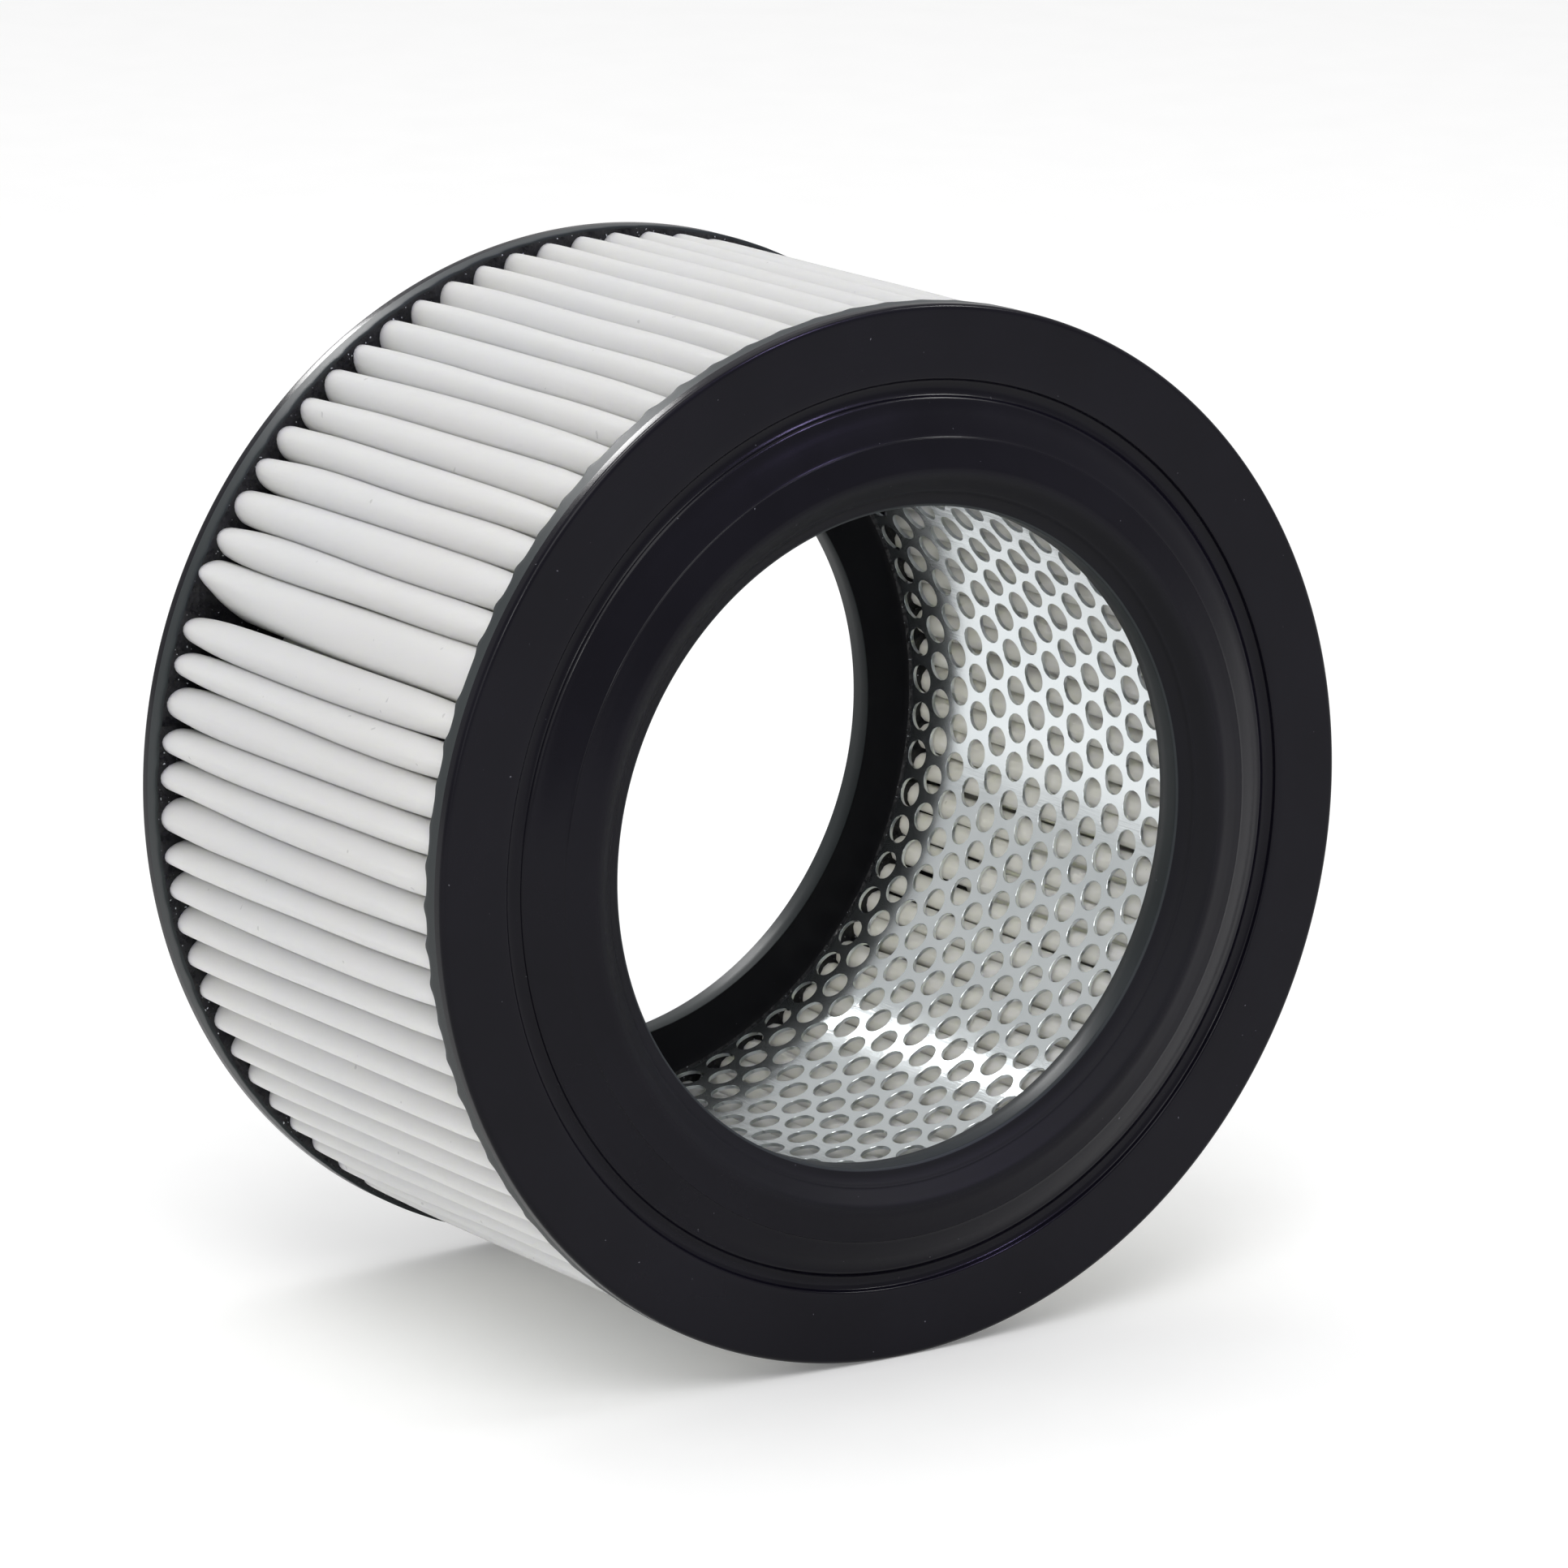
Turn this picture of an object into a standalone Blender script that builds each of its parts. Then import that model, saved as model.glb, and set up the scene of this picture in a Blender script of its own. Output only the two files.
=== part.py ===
"""Round air filter element: two moulded end caps, a ring of pleats and a rolled metal liner.

The element stands on its rim. Its axis runs along Y at the height of the rim's radius, the front
cap faces -Y, and the origin is on the ground, under the middle of the element. Metres, +Z up.
"""

import math

import bmesh
import bpy

# Driving dimensions
RIM_RADIUS = 0.068          # outside of both end caps
BODY_LENGTH = 0.074         # from flat face to flat face of the two caps
CAP_THICKNESS = 0.0036      # flat face to pleat side
BORE_RADIUS = 0.0425
BEAD_START_RADIUS = 0.0429  # the bead rises from the edge of the bore's lip
CREST_RADIUS = 0.0472       # the sealing bead's highest circle
CREST_HEIGHT = 0.0030       # above the flat face
GROOVE_INNER_RADIUS = 0.0564
GROOVE_OUTER_RADIUS = 0.0585
GROOVE_DEPTH = 0.0009
GROOVE_WALL = 0.0002        # how far each side of the groove slopes in
RIM_FILLET = 0.0011
LIP_FILLET = 0.0004
TROUGH_DEPTH = 0.0019       # the channel that holds the ends of the pleats and of the liner
TROUGH_INNER_RADIUS = 0.0496
TROUGH_OUTER_RADIUS = 0.0672
GAP = 0.0003                # between neighbouring pieces

PLEAT_COUNT = 82
SEAM_PLEAT_WIDTH = 1.5      # in ordinary pleats
SEAM_ANGLE = math.radians(294.7)   # clockwise from the top, seen from the front
RIDGE_SHIFT = 0.0008        # the seam pleat's ridge is off its middle, clockwise
MEDIA_THICKNESS = 0.0009
PLEAT_TIP_RADIUS = 0.0669   # outer surface at the tips
PLEAT_ROOT_RADIUS = 0.0514  # inner surface at the roots
TIP_BEND = 0.00175          # middle of the media at an outer fold
ROOT_BEND = 0.0011          # middle of the media at an inner fold

SEAM_BEAD_THICKNESS = 0.0005
SEAM_BEAD_INNER_RADIUS = 0.0615

LINER_RADIUS = 0.05015      # middle of the sheet
LINER_THICKNESS = 0.0005
LAP_STEP = 0.00065          # how far the outer end of the sheet is raised over the inner end
LAP_ANGLE = math.radians(9.0)
JOGGLE_ANGLE = math.radians(4.0)
LAP_PLACE = math.radians(250.0)    # where the sheet's inner end lies

CAP_SEGMENTS = 60           # one flat of the rim lies on the ground
LINER_SEGMENTS = 72

INSERTED_HALF_LENGTH = BODY_LENGTH / 2 - CAP_THICKNESS + TROUGH_DEPTH - GAP


def clear_scene():
    for old in list(bpy.data.objects):
        bpy.data.objects.remove(old, do_unlink=True)


def plain_material(name, colour, roughness, metallic=0.0):
    material = bpy.data.materials.new(name)
    material.use_nodes = True
    shader = material.node_tree.nodes["Principled BSDF"]
    shader.inputs["Base Color"].default_value = (*colour, 1.0)
    shader.inputs["Roughness"].default_value = roughness
    shader.inputs["Metallic"].default_value = metallic
    return material


def on_ring(radius, angle):
    """X and Z of a point on a circle about the filter's axis, clockwise from the top."""
    return radius * math.sin(angle), RIM_RADIUS + radius * math.cos(angle)


def finish_object(name, mesh_builder, material, sharp_angle):
    """Make a named object of a bmesh, with its faces pointing out and round parts smooth."""
    bmesh.ops.recalc_face_normals(mesh_builder, faces=mesh_builder.faces)
    mesh = bpy.data.meshes.new(name)
    mesh_builder.to_mesh(mesh)
    mesh_builder.free()
    mesh.shade_smooth()
    mesh.set_sharp_from_angle(angle=math.radians(sharp_angle))
    mesh.materials.append(material)
    piece = bpy.data.objects.new(name, mesh)
    bpy.context.scene.collection.objects.link(piece)
    return piece


# End caps

def arc(centre_radius, centre_height, radius, start, end, steps):
    """Points of a round corner in the cap's section, angles in degrees."""
    points = []
    for step in range(steps + 1):
        angle = math.radians(start + (end - start) * step / steps)
        points.append((centre_radius + radius * math.cos(angle),
                       centre_height + radius * math.sin(angle)))
    return points


def bead_height(radius):
    """Height of the sealing bead above the flat face: steep towards the bore, long outside."""
    if radius <= CREST_RADIUS:
        share = (radius - BEAD_START_RADIUS) / (CREST_RADIUS - BEAD_START_RADIUS)
        return CREST_HEIGHT * (0.5 - 0.5 * math.cos(math.pi * share))
    share = (radius - CREST_RADIUS) / (GROOVE_INNER_RADIUS - CREST_RADIUS)
    return CREST_HEIGHT * (1.0 - share ** 1.26)


def cap_section():
    """The cap's outline as (radius, height above the flat face), starting inside the bore."""
    points = [(BORE_RADIUS, -CAP_THICKNESS)]
    points += arc(BORE_RADIUS + LIP_FILLET, -LIP_FILLET, LIP_FILLET, 180, 90, 2)
    inner_steps = 4
    for step in range(1, inner_steps):
        radius = BEAD_START_RADIUS + (CREST_RADIUS - BEAD_START_RADIUS) * step / inner_steps
        points.append((radius, bead_height(radius)))
    outer_steps = 4
    for step in range(outer_steps + 1):
        radius = CREST_RADIUS + (GROOVE_INNER_RADIUS - CREST_RADIUS) * step / outer_steps
        points.append((radius, bead_height(radius)))
    points.append((GROOVE_INNER_RADIUS + GROOVE_WALL, -GROOVE_DEPTH))
    points.append((GROOVE_OUTER_RADIUS - GROOVE_WALL, -GROOVE_DEPTH))
    points.append((GROOVE_OUTER_RADIUS, 0.0))
    points += arc(RIM_RADIUS - RIM_FILLET, -RIM_FILLET, RIM_FILLET, 90, 0, 3)
    points.append((RIM_RADIUS, -CAP_THICKNESS))
    points.append((TROUGH_OUTER_RADIUS, -CAP_THICKNESS))
    points.append((TROUGH_OUTER_RADIUS, -CAP_THICKNESS + TROUGH_DEPTH))
    points.append((TROUGH_INNER_RADIUS, -CAP_THICKNESS + TROUGH_DEPTH))
    points.append((TROUGH_INNER_RADIUS, -CAP_THICKNESS))
    return points


def end_cap(name, side, material):
    """Turn the section about the filter's axis; side is -1 for the front cap, +1 for the rear."""
    builder = bmesh.new()
    section = cap_section()
    flat_to_flat = 2 * math.pi / CAP_SEGMENTS
    rings = []
    for segment in range(CAP_SEGMENTS):
        angle = (segment + 0.5) * flat_to_flat
        ring = []
        for radius, height in section:
            x, z = on_ring(radius / math.cos(flat_to_flat / 2), angle)
            ring.append(builder.verts.new((x, side * (BODY_LENGTH / 2 + height), z)))
        rings.append(ring)
    for segment in range(CAP_SEGMENTS):
        here = rings[segment]
        there = rings[(segment + 1) % CAP_SEGMENTS]
        for point in range(len(section)):
            following = (point + 1) % len(section)
            builder.faces.new((here[point], here[following], there[following], there[point]))
    return finish_object(name, builder, material, 35)


# Pleated media

def bend(middle_radius, bend_radius, angle, outward, steps):
    """Middle line of one fold, as (radius, angle) points, from one leg to the next."""
    points = []
    for step in range(steps + 1):
        turn = math.pi * step / steps
        across = -bend_radius * math.cos(turn)
        radius = middle_radius + outward * bend_radius * math.sin(turn)
        points.append((radius, angle + across / radius))
    return points


def seam_flap(side):
    """Middle line of one end of the strip, from the ridge down to its last inner fold.

    The clockwise end (side +1) drops steeply from the ridge, the other one falls away slowly.
    """
    ridge = PLEAT_TIP_RADIUS - MEDIA_THICKNESS / 2
    beside_bead = SEAM_BEAD_THICKNESS / 2 + GAP + MEDIA_THICKNESS / 2
    if side > 0:
        steps = ((0.0650, 0.0026), (0.0620, 0.0030), (0.0567, 0.0026))
    else:
        steps = ((0.0650, -0.0011), (0.0620, -0.0024), (0.0567, -0.0026))
    steps = ((ridge, RIDGE_SHIFT + side * beside_bead),) + steps
    return [(radius, SEAM_ANGLE + across / radius) for radius, across in steps]


def media_middle_line():
    """The strip's folds, once around the ring, from the seam back to the seam."""
    pitch = 2 * math.pi / (PLEAT_COUNT + SEAM_PLEAT_WIDTH)
    tip = PLEAT_TIP_RADIUS - MEDIA_THICKNESS / 2 - TIP_BEND
    root = PLEAT_ROOT_RADIUS + MEDIA_THICKNESS / 2 + ROOT_BEND
    first_root = SEAM_ANGLE + pitch * SEAM_PLEAT_WIDTH / 2
    line = seam_flap(1.0)
    line += bend(root, ROOT_BEND, first_root, -1.0, 2)
    for pleat in range(PLEAT_COUNT):
        root_angle = first_root + pitch * pleat
        line += bend(tip, TIP_BEND, root_angle + pitch / 2, 1.0, 3)
        line += bend(root, ROOT_BEND, root_angle + pitch, -1.0, 2)
    for radius, angle in reversed(seam_flap(-1.0)):
        line.append((radius, angle + 2 * math.pi))
    return line


def unit(x, z):
    length = math.hypot(x, z)
    if length == 0.0:
        return 0.0, 0.0
    return x / length, z / length


def offset_line(points, distance):
    """Move a flat open line sideways by a distance, keeping the sheet even at the bends."""
    sharpest = 0.6
    moved = []
    for index, (x, z) in enumerate(points):
        before = points[max(index - 1, 0)]
        after = points[min(index + 1, len(points) - 1)]
        ahead = unit(after[0] - x, after[1] - z)
        behind = unit(x - before[0], z - before[1])
        if index == 0:
            behind = ahead
        if index == len(points) - 1:
            ahead = behind
        normal = unit(-(ahead[1] + behind[1]), ahead[0] + behind[0])
        stretch = 1.0 / max(sharpest, -normal[0] * ahead[1] + normal[1] * ahead[0])
        moved.append((x + normal[0] * distance * stretch, z + normal[1] * distance * stretch))
    return moved


def sheet_solid(name, middle, thickness, half_length, material, sharp_angle):
    """A sheet of even thickness whose section follows an open line, drawn out along Y."""
    left = offset_line(middle, thickness / 2)
    right = offset_line(middle, -thickness / 2)
    builder = bmesh.new()
    rows = []
    for outline in (left, right):
        for y in (-half_length, half_length):
            rows.append([builder.verts.new((x, y, z)) for x, z in outline])
    left_front, left_back, right_front, right_back = rows
    for index in range(len(middle) - 1):
        for row_a, row_b in ((left_front, left_back), (right_back, right_front),
                             (right_front, left_front), (left_back, right_back)):
            builder.faces.new((row_a[index], row_a[index + 1], row_b[index + 1], row_b[index]))
    for index in (0, -1):
        builder.faces.new((left_front[index], left_back[index],
                           right_back[index], right_front[index]))
    return finish_object(name, builder, material, sharp_angle)


def pleated_media(material):
    middle = [on_ring(radius, angle) for radius, angle in media_middle_line()]
    return sheet_solid("pleated_media", middle, MEDIA_THICKNESS, INSERTED_HALF_LENGTH,
                       material, 50)


def media_seam(material):
    """The bonding strip between the two ends of the pleated strip."""
    middle = []
    for radius in (SEAM_BEAD_INNER_RADIUS, PLEAT_TIP_RADIUS):
        middle.append(on_ring(radius, SEAM_ANGLE + RIDGE_SHIFT / radius))
    return sheet_solid("media_seam", middle, SEAM_BEAD_THICKNESS, INSERTED_HALF_LENGTH,
                       material, 50)


# Inner liner

def liner_middle_line():
    """The rolled sheet: a full turn, then a joggle outwards and the lap over its own start."""
    line = []
    for step in range(LINER_SEGMENTS):
        angle = LAP_PLACE + (2 * math.pi - JOGGLE_ANGLE) * step / (LINER_SEGMENTS - 1)
        line.append(on_ring(LINER_RADIUS, angle))
    lap_steps = 3
    for step in range(lap_steps + 1):
        angle = LAP_PLACE + 2 * math.pi + LAP_ANGLE * step / lap_steps
        line.append(on_ring(LINER_RADIUS + LAP_STEP, angle))
    return line


def inner_liner(material):
    return sheet_solid("inner_liner", liner_middle_line(), LINER_THICKNESS,
                       INSERTED_HALF_LENGTH, material, 35)


def main():
    clear_scene()
    rubber = plain_material("black_polyurethane", (0.018, 0.017, 0.021), 0.42)
    paper = plain_material("pleated_fleece", (0.82, 0.82, 0.79), 0.95)
    glue = plain_material("seam_adhesive", (0.78, 0.76, 0.68), 0.6)
    steel = plain_material("tinned_steel", (0.78, 0.80, 0.81), 0.32, 1.0)
    end_cap("front_end_cap", -1.0, rubber)
    end_cap("rear_end_cap", 1.0, rubber)
    pleated_media(paper)
    media_seam(glue)
    inner_liner(steel)


main()
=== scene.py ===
"""Looks of a round pleated air filter element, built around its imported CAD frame.

Both end caps, the pleats, the seam and the liner are made again here at full detail, in the
places of their CAD nodes. Metres, +Z up; the filter's axis runs along Y and the front cap faces -Y.
"""

import math

import bmesh
import bpy
import numpy as np
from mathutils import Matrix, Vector


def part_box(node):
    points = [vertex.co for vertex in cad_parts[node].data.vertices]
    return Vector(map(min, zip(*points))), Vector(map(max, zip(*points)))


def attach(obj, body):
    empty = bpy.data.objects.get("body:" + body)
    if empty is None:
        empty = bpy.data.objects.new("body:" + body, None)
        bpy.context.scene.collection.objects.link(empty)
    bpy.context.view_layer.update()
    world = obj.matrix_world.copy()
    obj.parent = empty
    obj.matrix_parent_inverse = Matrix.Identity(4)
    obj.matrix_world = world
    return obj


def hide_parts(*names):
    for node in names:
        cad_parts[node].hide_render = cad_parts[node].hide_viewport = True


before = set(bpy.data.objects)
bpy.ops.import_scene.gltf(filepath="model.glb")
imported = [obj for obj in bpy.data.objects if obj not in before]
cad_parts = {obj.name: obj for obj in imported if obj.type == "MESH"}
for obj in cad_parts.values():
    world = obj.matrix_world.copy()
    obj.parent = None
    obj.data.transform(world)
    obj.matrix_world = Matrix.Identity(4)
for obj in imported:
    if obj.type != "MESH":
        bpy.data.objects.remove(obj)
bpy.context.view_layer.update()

# Sizes taken from the frame
CAP_LOW, CAP_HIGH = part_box("front_end_cap")
RIM_RADIUS = (CAP_HIGH.x - CAP_LOW.x) / 2
AXIS_HEIGHT = (CAP_HIGH.z + CAP_LOW.z) / 2
LINER_LOW, LINER_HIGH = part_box("inner_liner")
LINER_HALF_LENGTH = (LINER_HIGH.y - LINER_LOW.y) / 2

# End caps, in metres from the filter's axis and above the flat sealing face
CREST_HEIGHT = 0.0030
FACE_Y = -CAP_LOW.y - CREST_HEIGHT
CAP_THICKNESS = 0.0036
BORE_RADIUS = 0.0425
GROOVE_INNER_RADIUS = 0.0564
GROOVE_OUTER_RADIUS = 0.0585
GROOVE_DEPTH = 0.0009
RIM_FILLET = 0.0007
WAVE_REACH = 0.002          # how far in from the rim the wavy edge is felt
LUMP_HEIGHT = 0.00012       # unevenness of the potting
CAP_STEPS = 900             # points around a cap
FRONT, REAR = -1, 1         # the side of a cap along Y

# Pleats
PLEAT_COUNT = 82
SEAM_PLEAT_WIDTH = 1.5      # in ordinary pleats
SEAM_ANGLE = math.radians(294.7)    # clockwise from the top, seen from the front
PITCH = 2 * math.pi / (PLEAT_COUNT + SEAM_PLEAT_WIDTH)
CROWDING = 0.04             # the most that a pleat is shifted, in radians, toward the lower left
WIDEST = math.radians(20.0)         # where the pleats stand furthest apart
MEDIA_THICKNESS = 0.0009
TIP_RADIUS = 0.0675
ROOT_RADIUS = 0.0512
ROOT_BEND = 0.00138         # radius of the inner folds
MEDIA_HALF_LENGTH = 0.0346
MEDIA_STATIONS = 41         # cross-sections along the pleats
PINCHED_SHARE = 0.40        # thickness left at the very ends of the strip
SWAY = 0.00016              # how far a valley strays sideways, as a standard deviation
UNEVENNESS = 0.00012        # the same for the height of a pleat

# Liner
LINER_RADIUS = 0.05015
LINER_THICKNESS = 0.0005
HOLE_RADIUS = 0.0020
HOLES_AROUND = 60
HOLE_ROWS = 15
ROW_SPACING = 0.848         # rows apart, in hole pitches
PLAIN_COLUMNS = 2           # the margin of the sheet where it laps and is welded
LAP_PLACE = math.radians(250.0)
LAP_WIDTH = 0.0090

random = np.random.default_rng(7)


def valley_angles():
    """Angles of the valleys between the pleats, from above the seam once around to below it."""
    even = SEAM_ANGLE + PITCH * (SEAM_PLEAT_WIDTH / 2 + np.arange(PLEAT_COUNT + 1))
    return even + CROWDING * (np.sin(even - WIDEST) - math.sin(SEAM_ANGLE - WIDEST))


VALLEYS = valley_angles()
CAPS = bpy.data.collections.new("black_caps")    # what the narrow lamps shine on
FLEECE = bpy.data.collections.new("fleece")      # what the lamp into the bore shines on
METAL = bpy.data.collections.new("metal")        # what the lamp behind the bore shines on


# Mesh helpers

def on_ring(radius, angle):
    """X and Z of points about the filter's axis, clockwise from the top, seen from the front."""
    return radius * np.sin(angle), AXIS_HEIGHT + radius * np.cos(angle)


def grid_faces(rows, columns, wrap_rows=False, wrap_columns=False, first=0):
    """Quads of a rows by columns grid of points numbered row by row."""
    row = np.arange(rows if wrap_rows else rows - 1)
    column = np.arange(columns if wrap_columns else columns - 1)
    a, b = np.meshgrid(row, column, indexing="ij")
    next_a, next_b = (a + 1) % rows, (b + 1) % columns
    corners = [a * columns + b, next_a * columns + b,
               next_a * columns + next_b, a * columns + next_b]
    return first + np.stack(corners, axis=-1).reshape(-1, 4)


def fill_ring(first, count):
    """Quads across a ring of an even number of points, between its first and its second half."""
    near = first + np.arange(count // 2 - 1)
    far = first + count - 1 - np.arange(count // 2 - 1)
    return np.stack([near, near + 1, far - 1, far], axis=1)


def closed_tube(rings, count, first=0):
    """Faces of a tube of rings, closed at its first and its last ring."""
    last = first + (rings - 1) * count
    return np.vstack([grid_faces(rings, count, wrap_columns=True, first=first),
                      fill_ring(first, count), fill_ring(last, count)[:, ::-1]])


def make_piece(name, points, faces, materials, material_of_face=None, sharp_angle=40):
    """A smooth-shaded mesh object from numpy points and quads."""
    mesh = bpy.data.meshes.new(name)
    mesh.from_pydata(points.tolist(), [], faces.tolist())
    mesh.validate()
    for material in materials:
        mesh.materials.append(material)
    if material_of_face is not None:
        mesh.polygons.foreach_set("material_index", np.asarray(material_of_face, np.int32))
    mesh.shade_smooth()
    mesh.set_sharp_from_angle(angle=math.radians(sharp_angle))
    piece = bpy.data.objects.new(name, mesh)
    bpy.context.scene.collection.objects.link(piece)
    return piece


def finish_piece(piece, node):
    """Nothing moves, so every piece rides on the one body, in the place of its CAD node."""
    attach(piece, "root")
    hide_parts(node)


def smooth_curve(points, steps):
    """A Catmull-Rom curve through a few points, with a number of steps between each two."""
    p = np.array(points, float)
    p = np.vstack([2 * p[0] - p[1], p, 2 * p[-1] - p[-2]])
    t = np.linspace(0, 1, steps, endpoint=False)[:, None]
    parts = []
    for i in range(1, len(p) - 2):
        before, start, end, after = p[i - 1], p[i], p[i + 1], p[i + 2]
        parts.append(0.5 * (2 * start + (end - before) * t
                            + (2 * before - 5 * start + 4 * end - after) * t ** 2
                            + (3 * start - before - 3 * end + after) * t ** 3))
    parts.append(p[-2][None])
    return np.vstack(parts)


def arc(centre_radius, centre_height, radius, start, end, steps):
    """A round corner of a section, as (radius, height) points; angles in degrees."""
    angle = np.radians(np.linspace(start, end, steps + 1))
    return np.stack([centre_radius + radius * np.cos(angle),
                     centre_height + radius * np.sin(angle)], axis=1)


def value_noise(shape, cell_rows, cell_columns):
    """Smooth random field from -1 to 1, whose last row meets its first."""
    rows, columns = shape
    coarse = random.uniform(-1, 1, (cell_rows, cell_columns))
    r = np.linspace(0, cell_rows, rows, endpoint=False)
    c = np.linspace(0, cell_columns - 1.001, columns)
    r0, c0 = np.floor(r).astype(int), np.floor(c).astype(int)
    fr, fc = r - r0, c - c0
    fr, fc = fr * fr * (3 - 2 * fr), fc * fc * (3 - 2 * fc)
    r1, c1 = (r0 + 1) % cell_rows, np.minimum(c0 + 1, cell_columns - 1)
    top = coarse[r0][:, c0] * (1 - fc) + coarse[r0][:, c1] * fc
    bottom = coarse[r1][:, c0] * (1 - fc) + coarse[r1][:, c1] * fc
    return top * (1 - fr)[:, None] + bottom * fr[:, None]


# Materials

class Nodes:
    """A short way to add and join shader nodes."""

    def __init__(self, name):
        self.material = bpy.data.materials.new(name)
        self.material.use_nodes = True
        self.tree = self.material.node_tree
        self.shader = self.tree.nodes["Principled BSDF"]

    def add(self, kind, inputs=None, **settings):
        node = self.tree.nodes.new(kind)
        for key, value in settings.items():
            setattr(node, key, value)
        for key, value in (inputs or {}).items():
            if isinstance(value, bpy.types.NodeSocket):
                self.tree.links.new(value, node.inputs[key])
            else:
                node.inputs[key].default_value = value
        return node

    def place(self, stretch=(1.0, 1.0, 1.0)):
        """Object coordinates, stretched along the axes."""
        coordinates = self.add("ShaderNodeTexCoord").outputs["Object"]
        return self.add("ShaderNodeMapping", {"Vector": coordinates, "Scale": stretch}).outputs[0]

    def noise(self, vector, scale, detail=2.0, roughness=0.5):
        return self.add("ShaderNodeTexNoise", {"Vector": vector, "Scale": scale, "Detail": detail,
                                               "Roughness": roughness}).outputs["Fac"]

    def ramp(self, value, stops):
        """A colour ramp; stops are (position, colour) pairs."""
        node = self.add("ShaderNodeValToRGB", {"Fac": value})
        elements = node.color_ramp.elements
        while len(elements) < len(stops):
            elements.new(0.5)
        for element, (position, colour) in zip(elements, stops):
            element.position = position
            element.color = (*colour, 1.0)
        return node.outputs["Color"]

    def spread(self, value, low, high, to_low, to_high):
        """The value's range from low to high, stretched to another range."""
        return self.add("ShaderNodeMapRange", {"Value": value, "From Min": low, "From Max": high,
                                               "To Min": to_low, "To Max": to_high}).outputs[0]

    def sum(self, first, second, factor):
        """first plus factor times second."""
        return self.add("ShaderNodeMath", {0: second, 1: factor, 2: first},
                        operation="MULTIPLY_ADD").outputs[0]

    def mix(self, factor, first, colour):
        """A colour socket, mixed with a plain colour."""
        node = self.add("ShaderNodeMix", {"Factor": factor}, data_type="RGBA")
        colour_a, colour_b = node.inputs[6], node.inputs[7]
        self.tree.links.new(first, colour_a)
        colour_b.default_value = (*colour, 1.0)
        return node.outputs[2]

    def bump(self, height, distance, strength):
        return self.add("ShaderNodeBump", {"Height": height, "Distance": distance,
                                           "Strength": strength}).outputs[0]

    def set(self, **sockets):
        """Set or link the shader's sockets, and give back the material."""
        for key, value in sockets.items():
            socket = self.shader.inputs[key.replace("_", " ")]
            if isinstance(value, bpy.types.NodeSocket):
                self.tree.links.new(value, socket)
            else:
                socket.default_value = value
        return self.material


def from_axis(nodes):
    """Distance from the filter's axis, as a shader value."""
    coordinates = nodes.add("ShaderNodeTexCoord").outputs["Object"]
    flat = nodes.add("ShaderNodeVectorMath", {0: coordinates, 1: (1.0, 0.0, 1.0)},
                     operation="MULTIPLY").outputs[0]
    centred = nodes.add("ShaderNodeVectorMath", {0: flat, 1: (0.0, 0.0, AXIS_HEIGHT)},
                        operation="SUBTRACT").outputs[0]
    return nodes.add("ShaderNodeVectorMath", {0: centred}, operation="LENGTH").outputs["Value"]


def cap_material(name, dark, light, gloss, specular=0.16):
    """Black polyurethane: faint turned flow lines, orange peel and a little dust."""
    nodes = Nodes(name)
    where = nodes.place()
    cloud = nodes.noise(where, 45.0, 4.0, 0.6)
    peel = nodes.noise(where, 900.0, 2.0)
    radius = from_axis(nodes)
    rings = nodes.add("ShaderNodeTexNoise", {"W": radius, "Scale": 900.0, "Detail": 3.0},
                      noise_dimensions="1D").outputs["Fac"]
    dust = nodes.ramp(nodes.noise(where, 1500.0, 1.0), [(0.0, (0, 0, 0)), (0.815, (0, 0, 0)),
                                                       (0.845, (1, 1, 1))])
    colour = nodes.ramp(cloud, [(0.3, dark), (0.7, light)])
    colour = nodes.mix(dust, colour, (0.09, 0.09, 0.10))
    roughness = nodes.spread(cloud, 0.3, 0.7, *gloss)
    height = nodes.sum(peel, rings, 1.3)
    normal = nodes.bump(height, 0.00002, 0.35)
    return nodes.set(Base_Color=colour, Roughness=roughness, Normal=normal, IOR=1.45,
                     Specular_IOR_Level=specular)


def potting_material():
    """The cast side between the pleats: wet-looking black with small bubbles, and whitish specks
    painted as glints.
    """
    nodes = Nodes("black_potting")
    where = nodes.place()
    bubbles = nodes.add("ShaderNodeTexVoronoi", {"Vector": where, "Scale": 1300.0}).outputs[0]
    lumps = nodes.noise(where, 420.0, 4.0, 0.65)
    height = nodes.sum(lumps, bubbles, 0.7)
    normal = nodes.bump(height, 0.00025, 0.7)
    colour = nodes.ramp(lumps, [(0.35, (0.004, 0.004, 0.006)), (0.75, (0.012, 0.012, 0.014))])
    # Painted glints: whitish specks painted into the colour to stand in for glints of light on the
    # bubbly cast surface
    painted_glints = nodes.ramp(nodes.noise(where, 2300.0, 1.0), [(0.0, (0, 0, 0)), (0.725, (0, 0, 0)),
                                                          (0.75, (1, 1, 1))])
    colour = nodes.mix(painted_glints, colour, (0.40, 0.42, 0.45))
    roughness = nodes.spread(lumps, 0.3, 0.7, 0.16, 0.42)
    return nodes.set(Base_Color=colour, Roughness=roughness, Normal=normal, IOR=1.40)


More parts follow.
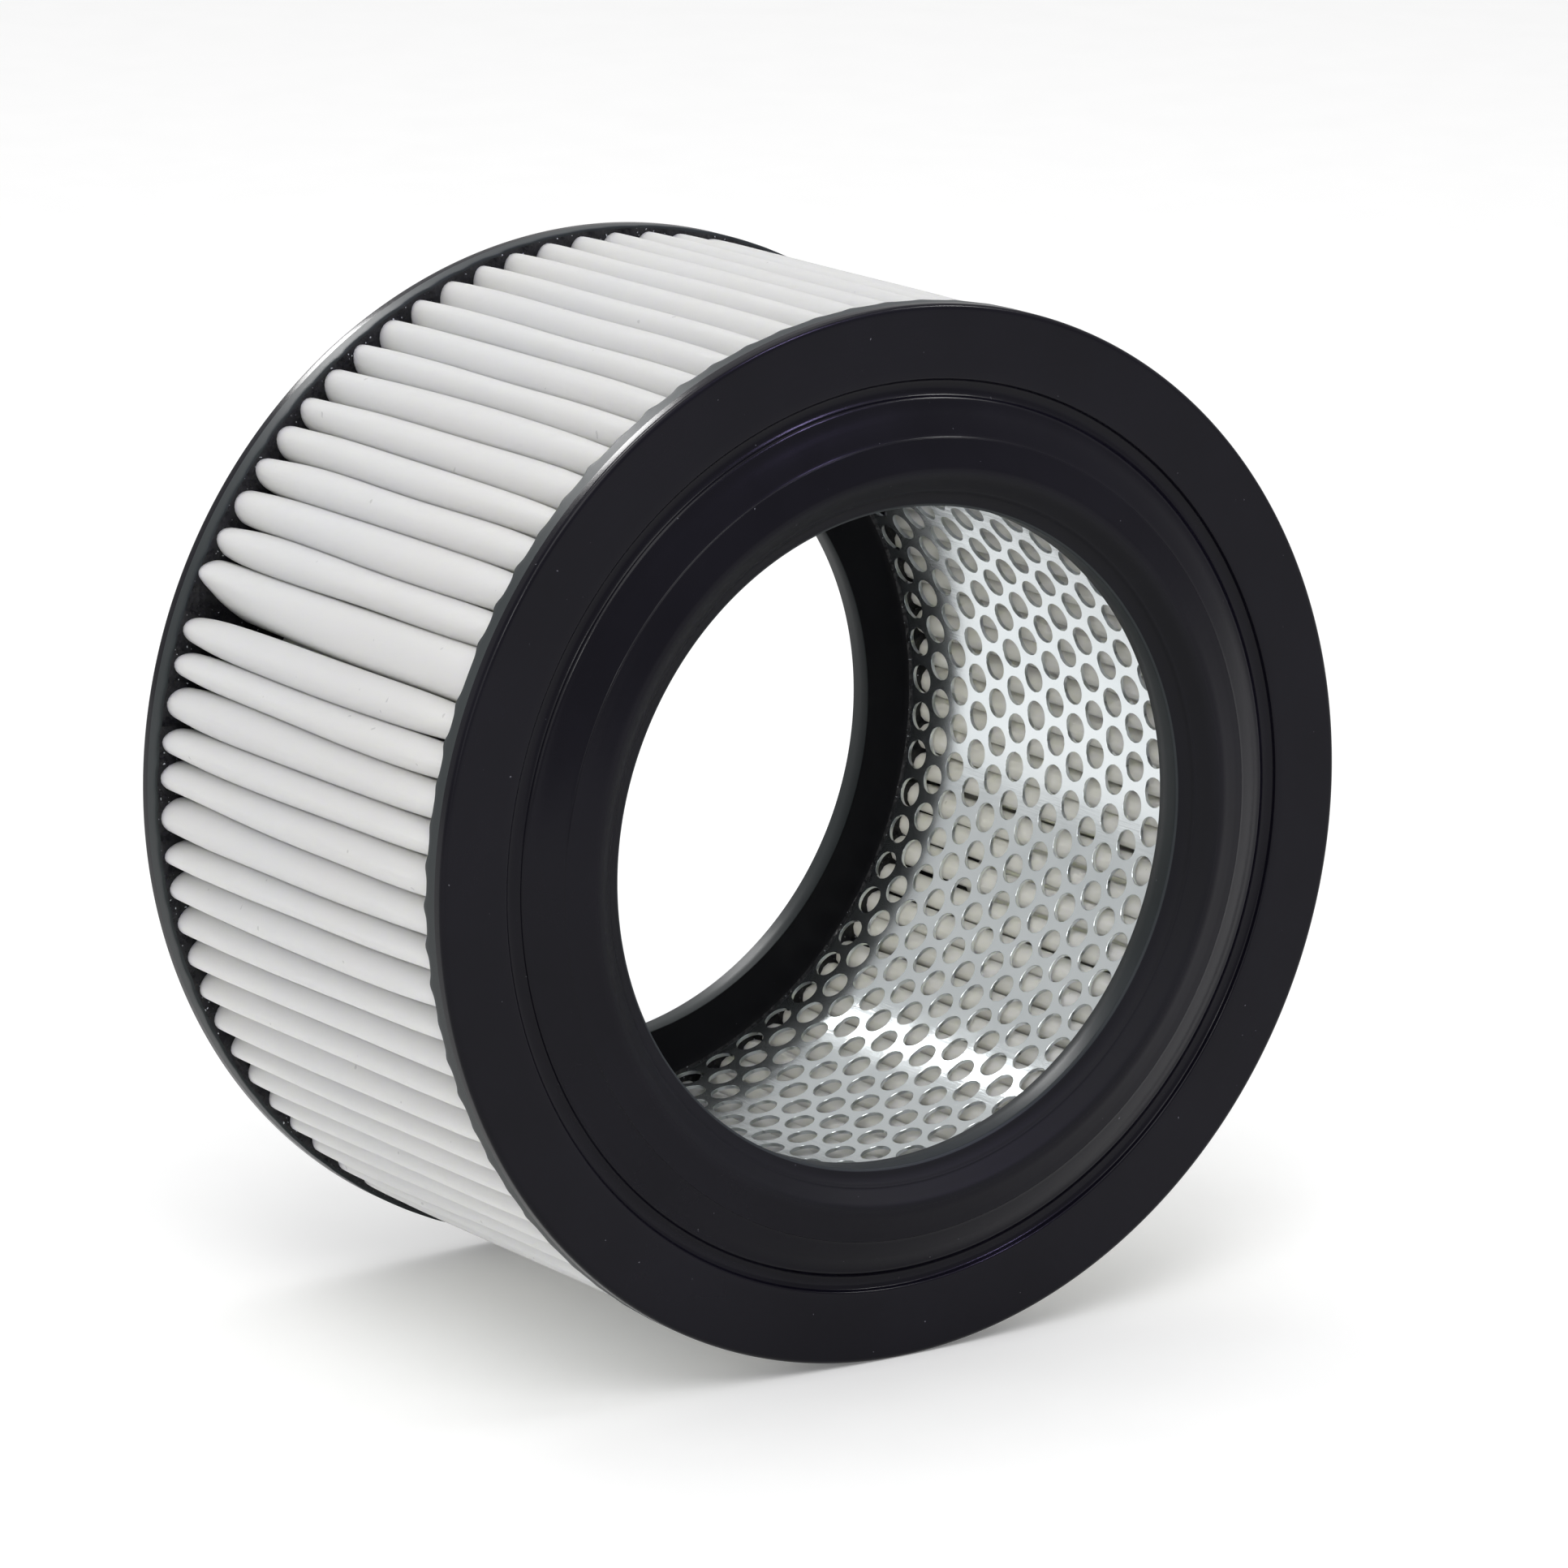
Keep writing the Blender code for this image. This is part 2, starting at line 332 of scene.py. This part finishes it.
def fleece_material():
    """White needled fleece: crossing fibres, light shining through and a few grey specks."""
    nodes = Nodes("white_fleece")
    where = nodes.place()
    drift = nodes.noise(where, 30.0, 3.0)
    wander = nodes.noise(where, 260.0, 2.0)
    shifted = nodes.add("ShaderNodeVectorMath", {0: where, 1: wander}, operation="ADD").outputs[0]
    along = nodes.add("ShaderNodeMapping", {"Vector": shifted, "Scale": (1.0, 0.22, 1.0),
                                            "Rotation": (0.4, 0.1, 0.3)}).outputs[0]
    across = nodes.add("ShaderNodeMapping", {"Vector": shifted, "Scale": (1.0, 1.0, 0.25),
                                             "Rotation": (-0.5, 0.2, 0.8)}).outputs[0]
    fibres = nodes.sum(nodes.noise(along, 3200.0, 2.0, 0.6), nodes.noise(across, 2700.0, 2.0, 0.6),
                       1.0)
    felt = nodes.noise(where, 700.0, 3.0, 0.6)
    colour = nodes.ramp(drift, [(0.35, (0.812, 0.826, 0.798)), (0.65, (0.832, 0.830, 0.782))])
    tone = nodes.spread(fibres, 0.7, 1.3, 0.0, 0.16)
    colour = nodes.mix(tone, colour, (0.60, 0.60, 0.56))
    speck = nodes.ramp(nodes.noise(where, 620.0, 1.0), [(0.0, (0, 0, 0)), (0.785, (0, 0, 0)),
                                                       (0.80, (1, 1, 1))])
    faint = nodes.add("ShaderNodeMath", {0: speck, 1: 0.35}, operation="MULTIPLY").outputs[0]
    colour = nodes.mix(faint, colour, (0.33, 0.33, 0.32))
    height = nodes.sum(fibres, felt, 1.4)
    normal = nodes.bump(height, 0.00010, 0.75)
    return nodes.set(Base_Color=colour, Roughness=0.97, Normal=normal, Specular_IOR_Level=0.12,
                     Sheen_Weight=0.20, Sheen_Roughness=0.6, Subsurface_Weight=1.0,
                     Subsurface_Radius=(0.0030, 0.0031, 0.0025), Subsurface_Scale=1.0)


def tin_material():
    """Bright tinned sheet: soft rolling marks, smudges and a slightly uneven gloss."""
    nodes = Nodes("tinned_sheet")
    where = nodes.place()
    rolled = nodes.noise(nodes.place((1.0, 0.05, 1.0)), 1400.0, 3.0, 0.6)
    smudge = nodes.noise(where, 85.0, 4.0, 0.6)
    colour = nodes.ramp(smudge, [(0.3, (0.70, 0.745, 0.76)), (0.7, (0.78, 0.82, 0.83))])
    height = nodes.sum(rolled, smudge, 2.0)
    normal = nodes.bump(height, 0.00003, 0.5)
    roughness = nodes.spread(smudge, 0.3, 0.7, 0.15, 0.23)
    return nodes.set(Base_Color=colour, Roughness=roughness, Normal=normal, Metallic=0.95)


def glue_material():
    """Cured seam adhesive, slightly yellow and waxy."""
    nodes = Nodes("seam_adhesive")
    where = nodes.place()
    lumps = nodes.noise(where, 500.0, 3.0)
    colour = nodes.ramp(lumps, [(0.3, (0.72, 0.69, 0.58)), (0.7, (0.82, 0.80, 0.72))])
    return nodes.set(Base_Color=colour, Roughness=0.5, Normal=nodes.bump(lumps, 0.0002, 0.6))


# End caps

# Kinds of surface, by their place in cap_materials: the moulded face and rim, the potting, the side
# and bore walls, whose colour is lightened with painted reflection, and the bead's inner flank with
# the ring inside the liner
GLOSSY, CAST, MATT, SOFT = range(4)


def cap_materials():
    return [
        cap_material("black_polyurethane", (0.0024, 0.0021, 0.0042), (0.0040, 0.0036, 0.0064),
                     (0.17, 0.25)),
        potting_material(),
        # Side and bore walls: a lighter, bluish copy of the black polyurethane, painted reflection
        # of the bright surroundings at grazing angles; the rougher finish is its own
        cap_material("black_side_wall_painted_reflection", (0.020, 0.0235, 0.0250), (0.026, 0.030, 0.0315),
                     (0.36, 0.46)),
        cap_material("black_inside", (0.0045, 0.0045, 0.0060), (0.0065, 0.0065, 0.0085),
                     (0.50, 0.60), 0.15)]


def bead_section():
    """The sealing bead in two parts: up its inner flank to the crest, and down to the groove."""
    inner = smooth_curve([(0.04282, 0.00004), (0.04350, 0.00024), (0.04420, 0.00066),
                          (0.04462, 0.00112), (0.04490, 0.00125), (0.04550, 0.00178),
                          (0.04620, 0.00246), (0.04670, 0.00284), (0.04720, CREST_HEIGHT)], 4)
    outer = smooth_curve([(0.04720, CREST_HEIGHT), (0.04800, 0.00296), (0.04900, 0.00268),
                          (0.05020, 0.00235), (0.05130, 0.00209)], 4)
    crease = smooth_curve([(0.05138, 0.00207), (0.05145, 0.00206), (0.05151, 0.00202),
                           (0.05158, 0.00191)], 3)
    slope = smooth_curve([(0.05168, 0.00184), (0.05280, 0.00136), (0.05400, 0.00080),
                          (0.05480, 0.00038), (0.05538, 0.00012)], 3)
    return inner, np.vstack([outer[1:], crease, slope])


def groove_section():
    """A round trough between a broad rounded shoulder and a smaller rounded edge."""
    shoulder, edge = 0.00085, 0.00034      # their radii
    inner, outer = GROOVE_INNER_RADIUS + 0.0001, GROOVE_OUTER_RADIUS
    middle, half = (inner + outer) / 2, (outer - inner) / 2
    side_depth = 0.00045                   # below this the trough is round
    turn = np.radians(np.linspace(205, 350, 13))
    trough = np.stack([middle + half * np.cos(turn),
                       -side_depth + (GROOVE_DEPTH - side_depth) * np.sin(turn)], axis=1)
    return np.vstack([arc(inner - shoulder, -shoulder, shoulder, 84, 20, 8), trough,
                      arc(outer + edge, -edge, edge, 160, 90, 4)])


def cap_section():
    """Rows of (radius, height, share of the wavy edge, share of the lumps, kind of surface)."""
    lip, back_edge, chamfer = 0.00032, 0.00015, 0.0001
    bore = [(BORE_RADIUS + chamfer, -CAP_THICKNESS), (BORE_RADIUS, -CAP_THICKNESS + chamfer),
            (BORE_RADIUS, -CAP_THICKNESS / 2)]
    flank, outer_slope = bead_section()
    flat = [(radius, 0.0) for radius in np.linspace(0.0600, 0.0670, 5)]
    rim = arc(RIM_RADIUS - RIM_FILLET, -RIM_FILLET, RIM_FILLET, 90, 0, 10)
    wall = [(RIM_RADIUS, -0.0017, 0.0), (RIM_RADIUS, -0.0023, 0.25), (RIM_RADIUS, -0.0029, 0.7)]
    corner = arc(RIM_RADIUS - back_edge, -CAP_THICKNESS + back_edge, back_edge, 0, -90, 3)
    inside = [(0.0496, -0.0032), (0.0487, -0.0031), (0.0460, -0.0032), (0.0432, -0.0035)]

    walls = np.vstack([bore, arc(BORE_RADIUS + lip, -lip, lip, 180, 96, 5)])
    face = np.vstack([outer_slope, groove_section(), flat, rim])
    rows = [(radius, height, 0.0, 0.0, MATT) for radius, height in walls]
    rows += [(radius, height, 0.0, 0.0, SOFT) for radius, height in flank]
    rows += [(radius, height, 0.0, 0.0, GLOSSY) for radius, height in face]
    rows += [(radius, height, wave, 0.0, MATT) for radius, height, wave in wall]
    rows += [(radius, height, 1.0, 0.0, MATT) for radius, height in corner]
    for radius in np.linspace(RIM_RADIUS - 0.0004, 0.0500, 44):
        wave = max(0.0, 1.0 - (RIM_RADIUS - radius) / WAVE_REACH)
        rows.append((radius, -CAP_THICKNESS, wave, 1.0, CAST))
    rows += [(radius, height, 0.0, 0.0, SOFT) for radius, height in inside]
    return np.array(rows)


def nearness(angle, width):
    """How near each angle is to a valley, 0 to 1, with every valley of its own strength."""
    apart = np.abs((angle[:, None] - VALLEYS[None, :] + math.pi) % (2 * math.pi) - math.pi)
    strength = random.uniform(0.35, 1.0, len(VALLEYS))
    return (np.exp(-(apart / (width * PITCH)) ** 2) * strength).max(axis=1)


def end_cap(name, node, side, materials):
    """Turned cap whose pleat-side edge is scalloped where the casting crept along the pleats."""
    section = cap_section()
    angle = 2 * math.pi * np.arange(CAP_STEPS) / CAP_STEPS
    creep = nearness(angle, 0.20) * (0.00065 if side == FRONT else 0.00045)
    creep += 0.00006 * np.sin(3 * angle + side) + 0.00005 * np.sin(7 * angle)
    lumps = value_noise((CAP_STEPS, len(section)), 260, 26) * LUMP_HEIGHT
    radius = np.broadcast_to(section[:, 0], (CAP_STEPS, len(section)))
    height = section[:, 1] - creep[:, None] * section[:, 2] + lumps * section[:, 3]
    x, z = on_ring(radius, angle[:, None])
    points = np.stack([x, side * (FACE_Y + height), z], axis=-1).reshape(-1, 3)
    faces = grid_faces(CAP_STEPS, len(section), wrap_rows=True, wrap_columns=True)
    if side == REAR:
        faces = faces[:, ::-1]
    kinds = np.tile(section[:, 4].astype(int), CAP_STEPS)
    piece = make_piece(name, points, faces, materials, kinds, 50)
    finish_piece(piece, node)
    CAPS.objects.link(piece)


# Pleated media

def leg_line(start, end, steps):
    """Points between two ends of a leg, without the ends."""
    share = np.linspace(0, 1, steps + 2)[1:-1, None]
    return start + (end - start) * share


def tip_fold(low_angle, high_angle, base, height, roundness, steps):
    """Outer fold as (radius, angle): full like a finger at roundness 1, softer above that."""
    turn = np.linspace(0, math.pi, steps + 1)
    rise = np.sin(turn) ** roundness
    reach = -np.cos(turn)
    middle, half = (low_angle + high_angle) / 2, (high_angle - low_angle) / 2
    return np.stack([base + height * rise, middle + half * reach], axis=1)


def root_fold(angle, steps=6):
    """Inner fold as (radius, angle), resting on the liner between two pleats."""
    turn = np.linspace(0, math.pi, steps + 1)
    radius = ROOT_RADIUS + MEDIA_THICKNESS / 2 + ROOT_BEND * (1 - np.sin(turn))
    return np.stack([radius, angle - ROOT_BEND * np.cos(turn) / radius], axis=1)


# The seam pleat as (radius, distance from its middle), from its lower side over the crown
SEAM_FRONT = [(0.0550, -0.0024), (0.0585, -0.0029), (0.0620, -0.0032), (0.0644, -0.0030),
              (0.0660, -0.0021), (0.0668, -0.0008), (0.0670, 0.0006), (0.0665, 0.0020),
              (0.0650, 0.0030), (0.0620, 0.0032), (0.0585, 0.0028), (0.0560, 0.0024)]
SEAM_REAR = [(0.0550, -0.0025), (0.0575, -0.0024), (0.0600, -0.0019), (0.0625, -0.0011),
             (0.0647, -0.0002), (0.0663, 0.0005), (0.0672, 0.0012), (0.0666, 0.0022),
             (0.0650, 0.0030), (0.0620, 0.0032), (0.0585, 0.0028), (0.0560, 0.0024)]
HOLLOW_START = -0.30        # along the filter, where -1 is the front cap and 1 the rear one
TUCK_SHIFT = 0.00105        # how far inside the crown's lower side the tucked end lies


def seam_lines(along):
    """The end that makes the crown, hollow below near the rear, and the end tucked inside it."""
    hollow = np.clip((along - HOLLOW_START) / (1.0 - HOLLOW_START), 0.0, 1.0) ** 2.2
    over = np.array(SEAM_FRONT) * (1 - hollow) + np.array(SEAM_REAR) * hollow
    under = over[1:4] + (0.0, TUCK_SHIFT)
    return [np.stack([line[:, 0], SEAM_ANGLE + line[:, 1] / line[:, 0]], axis=1)
            for line in (smooth_curve(over, 4), smooth_curve(under, 4))]


class Folds:
    """How the folds wander: every valley sways a little, every pleat differs in height."""

    def __init__(self):
        count = PLEAT_COUNT
        self.sway = random.normal(0, SWAY, (count + 1, 3))
        self.phase = random.uniform(0, 2 * math.pi, (count + 1, 2))
        self.height = random.normal(0, UNEVENNESS, (count, 2))
        self.slack = random.uniform(0.6, 1.4, (count, 2))

    def valleys(self, along):
        """Angles of the valleys at a station, along running from -1 to 1."""
        shift = (self.sway[:, 0] + self.sway[:, 1] * np.sin(2.1 * along + self.phase[:, 0])
                 + 0.5 * self.sway[:, 2] * np.sin(5.3 * along + self.phase[:, 1]))
        return VALLEYS + shift / TIP_RADIUS

    def tip(self, pleat, along):
        """How much lower a pleat is here, and the half gap beside it, which opens at the caps."""
        toward_cap = (1 + along) / 2
        slack = self.slack[pleat, 0] * (1 - toward_cap) + self.slack[pleat, 1] * toward_cap
        pulled_in = 0.00025 * abs(along) ** 9 + 0.00015
        wander = self.height[pleat, 0] + self.height[pleat, 1] * math.sin(2.4 * along)
        gap = slack * (0.00014 * abs(along) ** 3 + 0.00042 * abs(along) ** 8)
        return pulled_in - 0.5 * wander * (1 - along ** 4), gap


def media_line(folds, along):
    """The strip's middle line at one station, from the seam once around, as (radius, angle)."""
    over, under = seam_lines(along)
    valleys = folds.valleys(along)
    first = root_fold(valleys[0])
    parts = [over, leg_line(over[-1], first[0], 1), first]
    for pleat in range(PLEAT_COUNT):
        lost, gap = folds.tip(pleat, along)
        crown = TIP_RADIUS - MEDIA_THICKNESS / 2 - lost
        height = 0.0014 + 0.0012 * along ** 4        # taller and fuller folds at the caps
        roundness = 2.3 - 1.32 * along ** 6
        beside = (gap + MEDIA_THICKNESS / 2) / crown
        fold = tip_fold(valleys[pleat] + beside, valleys[pleat + 1] - beside,
                        crown - height, height, roundness, 14)
        root = root_fold(valleys[pleat + 1])
        parts += [leg_line(parts[-1][-1], fold[0], 5), fold]
        parts += [leg_line(fold[-1], root[0], 5), root]
    under = under + (0.0, 2 * math.pi)
    parts += [leg_line(parts[-1][-1], under[0], 1), under]
    return np.vstack(parts)


def sheet_thickness(count, pinched):
    """Even thickness, thinner at the two ends where they are pressed together."""
    thickness = np.full(count, MEDIA_THICKNESS)
    ease = np.linspace(PINCHED_SHARE, 1.0, pinched)
    thickness[:pinched] *= ease
    thickness[-pinched:] *= ease[::-1]
    return thickness


def offset_line(x, z, distance):
    """The line moved sideways by a distance at each of its points."""
    tangent = np.stack([np.gradient(x), np.gradient(z)], axis=1)
    tangent /= np.linalg.norm(tangent, axis=1)[:, None]
    return x - tangent[:, 1] * distance, z + tangent[:, 0] * distance


def pleated_media(material):
    """The strip as one closed tube, its cross-sections a little closer together at the caps."""
    folds = Folds()
    outer, inner = [], []
    for station in np.linspace(-1, 1, MEDIA_STATIONS):
        along = math.sin(station * math.pi / 2) * 0.35 + station * 0.65
        line = media_line(folds, along)
        x, z = on_ring(line[:, 0], line[:, 1])
        strip_length = np.hypot(np.diff(x), np.diff(z)).sum()
        half = sheet_thickness(len(line), 6) / 2
        y = np.full(len(line), along * MEDIA_HALF_LENGTH)
        for surface, distance in ((outer, half), (inner, -half)):
            moved_x, moved_z = offset_line(x, z, distance)
            surface.append(np.stack([moved_x, y, moved_z], axis=1))
    count = len(outer[0])
    loops = np.concatenate([np.array(outer), np.array(inner)[:, ::-1]], axis=1)
    points = loops.reshape(-1, 3)
    faces = closed_tube(MEDIA_STATIONS, 2 * count)[:, ::-1]
    piece = make_piece("pleated_fleece", points, faces, [material], sharp_angle=70)
    finish_piece(piece, "pleated_media")
    FLEECE.objects.link(piece)


def seam_strip(material):
    """The bonding strip that holds the two ends of the fleece together inside the pleat."""
    stations, around = 30, 10
    turn = np.linspace(0, 2 * math.pi, around, endpoint=False)
    y = np.linspace(-MEDIA_HALF_LENGTH, MEDIA_HALF_LENGTH, stations)
    wobble = value_noise((stations, around), 14, 5) * 0.00006
    middle_radius, half_height, off_centre, half_width = 0.0636, 0.0020, 0.0013, 0.0009
    radius = middle_radius + half_height * np.cos(turn)[None, :] + wobble
    narrowing = (0.0662 - radius) / 0.004          # thinner toward the crown
    across = off_centre + half_width * np.sin(turn)[None, :] * narrowing + wobble
    x, z = on_ring(radius, SEAM_ANGLE + across / radius)
    points = np.stack([x, np.broadcast_to(y[:, None], x.shape), z], axis=-1).reshape(-1, 3)
    faces = closed_tube(stations, around)[:, ::-1]
    piece = make_piece("seam_strip", points, faces, [material], sharp_angle=60)
    finish_piece(piece, "media_seam")


# Liner

def hole_cell():
    """The outline of one cell of the sheet, as 24 points of a unit square."""
    top = [(-0.5 + k / 8, 0.5) for k in range(8)]
    right = [(0.5, 0.5 - k / 4) for k in range(4)]
    bottom = [(0.5 - k / 8, -0.5) for k in range(8)]
    left = [(-0.5, -0.5 + k / 4) for k in range(4)]
    return np.array(top + right + bottom + left)


def perforated_liner(material):
    """Rolled sheet with staggered round holes, each with its punched wall, and its lap."""
    circumference = 2 * math.pi * LINER_RADIUS
    pitch = circumference / HOLES_AROUND
    row_pitch = pitch * ROW_SPACING
    edge = hole_cell() * (pitch, row_pitch)
    direction = edge / np.linalg.norm(edge, axis=1)[:, None]
    half = LINER_THICKNESS / 2
    burr = 0.00004
    rings = [(None, half), (HOLE_RADIUS + burr, half), (HOLE_RADIUS, half - burr),
             (HOLE_RADIUS, -half + burr), (HOLE_RADIUS + burr, -half), (None, -half)]
    sheet, faces = [], []
    for row in range(HOLE_ROWS):
        for column in range(HOLES_AROUND):
            centre = np.array([(column + 0.5 * (row % 2)) * pitch,
                               (row - (HOLE_ROWS - 1) / 2) * row_pitch])
            plain = column >= HOLES_AROUND - PLAIN_COLUMNS
            first = sum(len(part) for part in sheet)
            for size, lift in rings:
                if plain and size is not None:
                    continue
                around = edge if size is None else direction * size
                sheet.append(np.column_stack([centre + around, np.full(len(edge), lift)]))
            if plain:
                faces.extend(plain_cell_faces(first, len(edge)))
            else:
                faces.extend(grid_faces(len(rings), len(edge), wrap_columns=True,
                                        first=first).tolist())
    lap, lap_faces = lap_margin(sum(len(part) for part in sheet))
    points = roll_up(np.vstack([*sheet, lap]))
    faces.extend(lap_faces)
    mesh = bpy.data.meshes.new("perforated_liner")
    mesh.from_pydata(points.tolist(), [], faces)
    piece = bpy.data.objects.new("perforated_liner", mesh)
    bpy.context.scene.collection.objects.link(piece)
    mesh.materials.append(material)
    return piece


def plain_cell_faces(first, count):
    """A cell with no hole: its upper and its lower outline, each filled."""
    upper = [first + k for k in range(count)]
    lower = [first + count + k for k in range(count)]
    return [upper[::-1], lower]


def lap_margin(first):
    """The plain margin of the sheet that laps over the other end on the inside."""
    columns, rings = 13, 9
    air = 0.00003
    along = np.linspace(0.0, LAP_WIDTH, columns)
    sink = np.clip((along - 0.7 * LAP_WIDTH) / (0.3 * LAP_WIDTH), 0.0, 1.0)
    lift = -LINER_THICKNESS - air + LINER_THICKNESS * sink
    half = LINER_THICKNESS / 2
    start = -(PLAIN_COLUMNS - 0.35) * 2 * math.pi * LINER_RADIUS / HOLES_AROUND
    points = []
    for across in np.linspace(-1, 1, rings) * (LINER_HALF_LENGTH - 0.0002):
        for side, order in ((half, 1), (-half, -1)):
            points.append(np.column_stack([start + along, np.full(columns, across),
                                           lift + side])[::order])
    return np.vstack(points), closed_tube(rings, 2 * columns, first).tolist()


def roll_up(sheet):
    """Bend the flat sheet (along, across, above) around the filter's axis."""
    angle = LAP_PLACE + sheet[:, 0] / LINER_RADIUS
    x, z = on_ring(LINER_RADIUS + sheet[:, 2], angle)
    return np.stack([x, sheet[:, 1], z], axis=1)


def in_fixed_order(builder):
    """Points and faces, each face from its lowest point number, so that every run is the same."""
    builder.verts.index_update()
    faces = []
    for face in builder.faces:
        corners = [vertex.index for vertex in face.verts]
        first = corners.index(min(corners))
        faces.append(corners[first:] + corners[:first])
    return [tuple(vertex.co) for vertex in builder.verts], sorted(faces)


def close_liner(piece):
    """Weld the cells, then add the plain edges that sit in the end caps, closed at their ends."""
    builder = bmesh.new()
    builder.from_mesh(piece.data)
    bmesh.ops.remove_doubles(builder, verts=builder.verts, dist=0.00002)
    for side in (FRONT, REAR):
        rim = [e for e in builder.edges if e.is_boundary
               and all(side * v.co.y > 0.9 * LINER_HALF_LENGTH for v in e.verts)]
        grown = bmesh.ops.extrude_edge_only(builder, edges=rim)["geom"]
        for vertex in [g for g in grown if hasattr(g, "co")]:
            vertex.co.y = side * LINER_HALF_LENGTH
        ends = [e for e in builder.edges if e.is_boundary
                and all(side * v.co.y > LINER_HALF_LENGTH - 0.00001 for v in e.verts)]
        bmesh.ops.bridge_loops(builder, edges=ends)
    bmesh.ops.recalc_face_normals(builder, faces=builder.faces)
    points, faces = in_fixed_order(builder)
    builder.free()
    piece.data.clear_geometry()
    piece.data.from_pydata(points, [], faces)
    piece.data.shade_smooth()
    piece.data.set_sharp_from_angle(angle=math.radians(30))
    finish_piece(piece, "inner_liner")
    METAL.objects.link(piece)


# Stage

def floor_material():
    """Pale and slightly luminous, so that it stays near white around the soft shadow."""
    nodes = Nodes("pale_floor")
    grain = nodes.noise(nodes.place(), 60.0, 3.0)
    colour = nodes.ramp(grain, [(0.3, (0.94, 0.94, 0.94)), (0.7, (0.96, 0.96, 0.96))])
    return nodes.set(Base_Color=colour, Roughness=0.8, Emission_Color=(1.0, 1.0, 1.0, 1.0),
                     Emission_Strength=0.13)


def add_floor():
    size = 8.0
    mesh = bpy.data.meshes.new("floor")
    corners = [(-size, -size, 0), (size, -size, 0), (size, size, 0), (-size, size, 0)]
    mesh.from_pydata(corners, [], [(0, 1, 2, 3)])
    mesh.materials.append(floor_material())
    floor = bpy.data.objects.new("floor", mesh)
    bpy.context.scene.collection.objects.link(floor)


def add_lamp(name, light, place, target, colour, only):
    """Place a light; where only is given, it shines on that collection and nothing else."""
    light.color = colour
    lamp = bpy.data.objects.new(name, light)
    lamp.location = place
    lamp.rotation_euler = (Vector(target) - Vector(place)).to_track_quat("-Z", "Y").to_euler()
    bpy.context.scene.collection.objects.link(lamp)
    if only is not None:
        lamp.light_linking.receiver_collection = only


def add_softbox(name, place, size, power, colour=(1.0, 1.0, 1.0), only=None):
    light = bpy.data.lights.new(name, "AREA")
    light.shape = "SQUARE"
    light.size = size
    light.energy = power
    add_lamp(name, light, place, (0.0, 0.0, AXIS_HEIGHT), colour, only)


def add_beam(name, place, width, power, colour, only):
    """A narrow spot that passes through the front bore and lights only what is behind it."""
    light = bpy.data.lights.new(name, "SPOT")
    bore = Vector((0.0, -FACE_Y, AXIS_HEIGHT))
    light.spot_size = 2 * math.atan(width / 2 / (Vector(place) - bore).length)
    light.spot_blend = 0.25
    light.shadow_soft_size = 0.03
    light.energy = power
    add_lamp(name, light, place, bore, colour, only)


def add_lights():
    """Soft studio light, a beam on the fleece inside, and small lamps for the narrow reflections."""
    warm, violet = (1.0, 0.97, 0.80), (0.58, 0.48, 1.0)
    add_softbox("key_softbox", (-0.62, -0.85, 1.35), 0.9, 9.0)
    add_softbox("front_softbox", (-1.15, -0.95, 0.55), 0.7, 1.8)
    add_softbox("top_softbox", (0.1, 0.3, 1.9), 1.6, 12.0)
    # The fleece behind the liner, and the bright patch low in the liner
    add_beam("bore_beam", (-0.73, -1.04, 0.36), 0.080, 56.0, warm, FLEECE)
    add_softbox("back_lamp", (-0.085, 1.15, 0.90), 0.09, 0.22, only=METAL)
    # Reflections on the caps: side walls, rim fillets, groove shoulders and the violet one
    add_softbox("wall_lamp", (-0.06, 1.31, 0.99), 0.30, 10.0, only=CAPS)
    add_softbox("rim_lamp", (-0.44, 0.22, 1.49), 0.40, 12.0, only=CAPS)
    add_softbox("groove_lamp", (-0.83, -1.06, 0.74), 0.16, 2.0, only=CAPS)
    add_softbox("top_lamp", (0.94, -0.47, 1.14), 0.20, 4.5, only=CAPS)
    add_softbox("violet_lamp", (0.42, -0.97, 1.23), 0.15, 6.8, violet, only=CAPS)

    world = bpy.data.worlds.new("studio")
    world.use_nodes = True
    background = world.node_tree.nodes["Background"]
    background.inputs["Color"].default_value = (1.0, 1.0, 1.0, 1.0)
    background.inputs["Strength"].default_value = 0.60
    bpy.context.scene.world = world
    bpy.context.scene.view_settings.view_transform = "Standard"


def add_camera():
    """Long lens, to the front left of the element and a little above its axis."""
    azimuth, elevation = math.radians(-33.7), math.radians(13.4)
    distance, lens = 1.062, 193.9
    back = Vector((math.sin(azimuth) * math.cos(elevation),
                   -math.cos(azimuth) * math.cos(elevation), math.sin(elevation)))
    facing = (-back).to_track_quat("-Z", "Y")
    aim = Vector((0.0, -FACE_Y, AXIS_HEIGHT))
    aim += facing @ Vector((-0.0150, 0.0070, 0.0))
    data = bpy.data.cameras.new("camera")
    data.lens = lens
    data.sensor_width = 36.0
    data.clip_start, data.clip_end = 0.05, 50.0
    camera = bpy.data.objects.new("camera", data)
    camera.location = aim + back * distance
    camera.rotation_euler = facing.to_euler()
    bpy.context.scene.collection.objects.link(camera)
    bpy.context.scene.camera = camera


add_camera()
black = cap_materials()
end_cap("front_cap", "front_end_cap", FRONT, black)
end_cap("rear_cap", "rear_end_cap", REAR, black)
pleated_media(fleece_material())
seam_strip(glue_material())
close_liner(perforated_liner(tin_material()))
add_floor()
add_lights()
